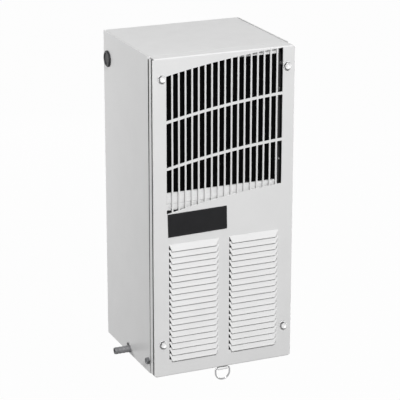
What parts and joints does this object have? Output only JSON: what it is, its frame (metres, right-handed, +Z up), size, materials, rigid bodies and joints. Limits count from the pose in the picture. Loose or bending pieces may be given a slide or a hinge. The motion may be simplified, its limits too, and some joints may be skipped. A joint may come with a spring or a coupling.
{
  "type": "enclosure cooling unit",
  "caption": "Tall wall-hung cooling unit for an electrical enclosure, with an arched slot grille, louvre banks, a pull-down filter, fans, compressor and a drain spigot.",
  "frame": {"origin": "middle of the four wall bolt holes, on the back wall's outer face", "axes": "+Y into the enclosure wall that the unit hangs on, so the grille faces -Y; +Z up; +X to the right as seen from the front"},
  "size_m": [0.197, 0.1656, 0.4061],
  "materials": {
    "casing_paint": "fine-grained satin powder coat",
    "cover_paint": "fine-grained satin powder coat",
    "guide_paint": "dark satin coat",
    "motor_paint": "grey enamel",
    "compressor_paint": "black enamel",
    "zinc_steel": "zinc plated",
    "bright_steel": "bright drawn wire",
    "galvanised_sheet": "galvanised",
    "capacitor_can": "drawn can",
    "fin_alloy": "mill finish",
    "filter_alloy": "mill finish",
    "copper": "drawn copper",
    "filter_foam": "open black filter foam",
    "black_foam": "closed-cell black foam",
    "black_rubber": "moulded",
    "black_plastic": "moulded",
    "badge_black": "blank satin plate",
    "grey_plastic": "moulded",
    "white_plastic": "moulded",
    "clear_hose": "soft hose"
  },
  "bodies": {
    "housing": {"casing_wrap": "casing_paint", "top_panel": "casing_paint", "bottom_panel": "casing_paint", "front_cover": "cover_paint", "cover_edge_strips": "cover_paint", "cover_seal": "black_foam", "cover_screws": "zinc_steel", "clip_nuts": "zinc_steel", "badge_plate": "badge_black", "hole_plug": "black_plastic", "side_screw": "zinc_steel", "drain_spigot": "grey_plastic", "spigot_nut": "grey_plastic", "drain_hose": "clear_hose", "drain_pan": "white_plastic", "filter_guides": "guide_paint", "guide_screws": "zinc_steel", "condenser_fins": "fin_alloy", "condenser_end_plates": "galvanised_sheet", "condenser_tubes": "copper", "fan_shroud": "galvanised_sheet", "fan_motor": "motor_paint", "motor_bracket": "galvanised_sheet", "compressor": "compressor_paint", "compressor_grommets": "black_rubber", "compressor_studs": "zinc_steel", "terminal_cover": "black_plastic", "discharge_line": "copper", "suction_line": "copper", "liquid_line": "copper", "filter_drier": "copper", "capillary_tube": "copper", "divider_panel": "galvanised_sheet", "divider_insulation": "black_foam", "evaporator_fins": "fin_alloy", "evaporator_end_plates": "galvanised_sheet", "evaporator_tubes": "copper", "rear_fan_frame": "black_plastic", "rear_fan_guard": "bright_steel", "rear_fan_screws": "zinc_steel", "wall_nuts": "zinc_steel", "back_gasket": "black_foam", "lead_grommet": "black_rubber", "control_box": "galvanised_sheet", "control_box_lid": "galvanised_sheet", "lid_screws": "zinc_steel", "terminal_block": "white_plastic", "relay": "black_plastic", "run_capacitor": "capacitor_can", "fan_lead": "black_rubber", "thermostat_body": "black_plastic", "sensing_bulb": "copper"},
    "filter": {"filter_frame": "filter_alloy", "filter_media": "filter_foam", "pull_strap": "filter_alloy"},
    "ring": {"pull_ring": "bright_steel"},
    "condenser_fan_rotor": {"condenser_fan": "black_plastic", "fan_shaft": "bright_steel"},
    "rear_fan_rotor": {"rear_fan_wheel": "black_plastic"},
    "dial": {"thermostat_dial": "white_plastic"}
  },
  "joints": [
    {"name": "filter_slide", "type": "slide", "parent": "housing", "child": "filter", "axis": [0, 0, -1], "range_m": [0, 0.3]},
    {"name": "ring_swing", "type": "hinge", "parent": "filter", "child": "ring", "pos_m": [0.001, -0.1533, -0.1971], "axis": [1, 0, 0], "range_deg": [-90, 90]},
    {"name": "condenser_fan_spin", "type": "hinge", "parent": "housing", "child": "condenser_fan_rotor", "pos_m": [0, -0.1, 0.0995], "axis": [0, 1, 0], "continuous": true},
    {"name": "rear_fan_spin", "type": "hinge", "parent": "housing", "child": "rear_fan_rotor", "pos_m": [0, -0.015, 0.1245], "axis": [0, 1, 0], "continuous": true},
    {"name": "thermostat_turn", "type": "hinge", "parent": "housing", "child": "dial", "pos_m": [0.053, -0.003, -0.1135], "axis": [0, 1, 0], "range_deg": [-135, 135]}
  ]
}
